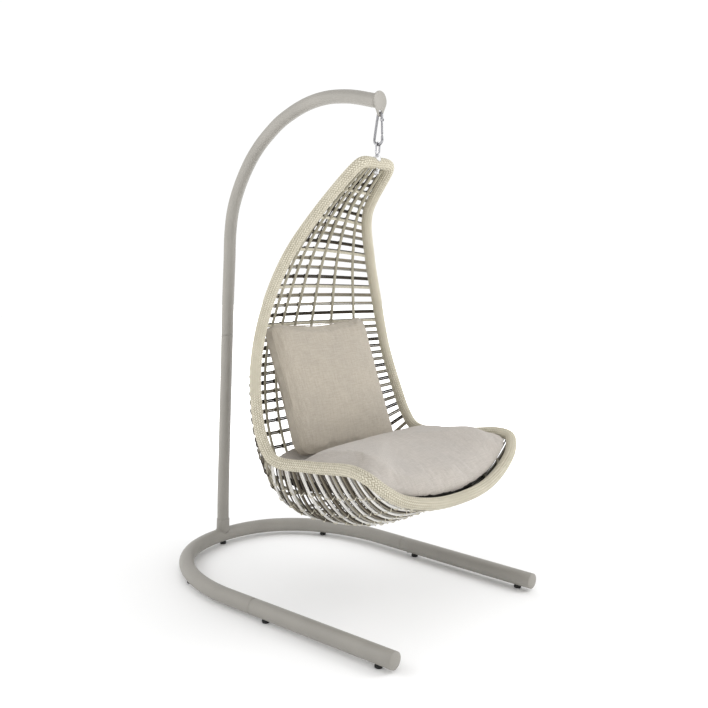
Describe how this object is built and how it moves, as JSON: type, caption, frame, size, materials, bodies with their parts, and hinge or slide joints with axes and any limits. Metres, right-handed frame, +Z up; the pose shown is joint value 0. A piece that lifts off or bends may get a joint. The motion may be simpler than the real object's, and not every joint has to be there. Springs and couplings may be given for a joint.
{
  "type": "hanging egg chair",
  "caption": "Woven egg-shaped basket seat with cushions, hung by a snap hook from a curved tube arm on a U-shaped floor stand.",
  "frame": {"origin": "on the floor, under the middle of the whole chair's box", "axes": "+Z up, the open front of the basket faces -Y, the chair is symmetric about X = 0"},
  "size_m": [0.9458, 1.3625, 1.9095],
  "materials": {
    "stand_paint": "satin powder coat, warm greige",
    "zinc_steel": "bright zinc plate",
    "glide_rubber": "matt black",
    "chrome": "polished",
    "cream_wicker": "braided synthetic rattan, cream",
    "grey_wicker": "round synthetic rattan, mixed grey, taupe and dark brown",
    "pillow_linen": "beige linen weave",
    "seat_linen": "grey-beige linen weave"
  },
  "bodies": {
    "stand": {"base_bend": "stand_paint", "base_leg_left": "stand_paint", "base_leg_right": "stand_paint", "leg_sleeve_left": "zinc_steel", "leg_sleeve_right": "zinc_steel", "leg_bolt_left": "zinc_steel", "leg_bolt_right": "zinc_steel", "leg_end_cap_left": "stand_paint", "leg_end_cap_right": "stand_paint", "glide_front_left": "glide_rubber", "glide_front_right": "glide_rubber", "glide_middle_left": "glide_rubber", "glide_middle_right": "glide_rubber", "glide_rear_left": "glide_rubber", "glide_rear_right": "glide_rubber", "glide_rear_middle": "glide_rubber", "post_socket": "stand_paint", "lower_post": "stand_paint", "upper_arm": "stand_paint", "post_sleeve": "zinc_steel", "post_bolt_lower": "zinc_steel", "post_bolt_upper": "zinc_steel", "arm_end_plate": "stand_paint"},
    "hook": {"hook_body": "chrome", "gate_pin": "zinc_steel"},
    "gate": {"hook_gate": "chrome"},
    "hanger": {"eye_bolt": "chrome", "eye_washer": "zinc_steel", "eye_nut": "zinc_steel"},
    "basket": {"swivel_bush": "zinc_steel", "basket_rim": "cream_wicker", "woven_top": "grey_wicker", "woven_back": "grey_wicker", "woven_bowl": "grey_wicker", "woven_front": "grey_wicker", "hoop_1": "cream_wicker", "hoop_2": "cream_wicker", "hoop_3": "cream_wicker", "hoop_4": "cream_wicker", "hoop_5": "cream_wicker", "rib_1": "cream_wicker", "rib_2": "cream_wicker", "rib_3": "cream_wicker", "rib_4": "cream_wicker", "rib_5": "cream_wicker", "rib_6": "cream_wicker", "rib_7": "cream_wicker", "rib_8": "cream_wicker", "rib_9": "cream_wicker", "back_pillow": "pillow_linen", "seat_cushion": "seat_linen"}
  },
  "joints": [
    {"name": "side_swing", "type": "hinge", "parent": "stand", "child": "hook", "pos_m": [0, -0.25742, 1.80198], "axis": [0, 1, 0], "range_deg": [-10, 10]},
    {"name": "fore_aft_swing", "type": "hinge", "parent": "hook", "child": "hanger", "pos_m": [0, -0.24875, 1.6988], "axis": [1, 0, 0], "range_deg": [-20, 12]},
    {"name": "basket_twist", "type": "hinge", "parent": "hanger", "child": "basket", "pos_m": [0, -0.2447, 1.65052], "axis": [0, -0.0837, 0.9965], "range_deg": [-60, 60]},
    {"name": "gate_open", "type": "hinge", "parent": "hook", "child": "gate", "pos_m": [0, -0.26604, 1.77617], "axis": [1, 0, 0], "range_deg": [0, 25], "stiffness_Nm_per_rad": 0.02, "springref_deg": -5.73}
  ]
}
